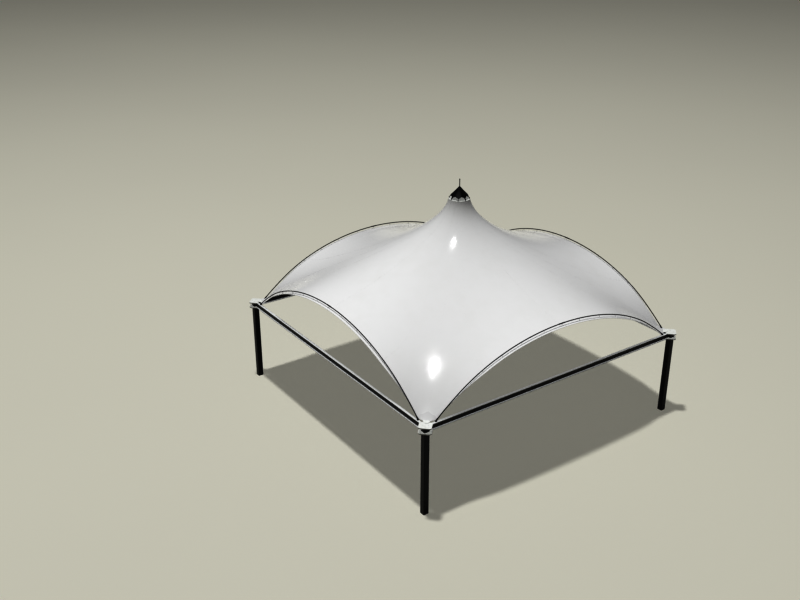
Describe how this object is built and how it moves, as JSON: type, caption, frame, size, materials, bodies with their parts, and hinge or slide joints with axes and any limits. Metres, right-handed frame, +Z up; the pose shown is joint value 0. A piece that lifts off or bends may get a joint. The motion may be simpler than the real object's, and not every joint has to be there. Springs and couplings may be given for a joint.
{
  "type": "square modular marquee",
  "caption": "Square event marquee: slim posts, plated corner nodes, eaves beams, arched side tubes and a tensioned white membrane roof rising to a capped peak on a centre mast.",
  "frame": {"origin": "on the ground, under the middle of the square", "axes": "+Z up; the posts stand at plus and minus half the module length along X and Y"},
  "size_m": [8.3638, 8.3638, 6.212],
  "materials": {
    "black_paint": "black powder coat, semi-gloss",
    "white_paint": "white powder coat, satin",
    "anodised_aluminium": "natural anodised, satin",
    "coated_fabric": "white coated membrane, glossy top coat"
  },
  "bodies": {
    "root": {"post_front": "black_paint", "post_right": "black_paint", "post_rear": "black_paint", "post_left": "black_paint", "collar_plate_front": "white_paint", "collar_plate_right": "white_paint", "collar_plate_rear": "white_paint", "collar_plate_left": "white_paint", "top_plate_front": "white_paint", "top_plate_right": "white_paint", "top_plate_rear": "white_paint", "top_plate_left": "white_paint", "corner_clamp_front": "white_paint", "corner_clamp_right": "white_paint", "corner_clamp_rear": "white_paint", "corner_clamp_left": "white_paint", "beam_front_left": "black_paint", "beam_front_right": "black_paint", "beam_rear_right": "black_paint", "beam_rear_left": "black_paint", "beam_rail_front_left": "anodised_aluminium", "beam_rail_front_right": "anodised_aluminium", "beam_rail_rear_right": "anodised_aluminium", "beam_rail_rear_left": "anodised_aluminium", "lower_rail_front_left": "anodised_aluminium", "lower_rail_front_right": "anodised_aluminium", "lower_rail_rear_right": "anodised_aluminium", "lower_rail_rear_left": "anodised_aluminium", "arch_front_left": "black_paint", "arch_front_right": "black_paint", "arch_rear_right": "black_paint", "arch_rear_left": "black_paint", "membrane_front_left": "coated_fabric", "membrane_front_right": "coated_fabric", "membrane_rear_right": "coated_fabric", "membrane_rear_left": "coated_fabric", "crown_ring": "white_paint", "cap_frame": "black_paint", "peak_cap": "black_paint", "spire": "black_paint", "centre_mast": "black_paint", "mast_foot": "black_paint"}
  },
  "joints": []
}
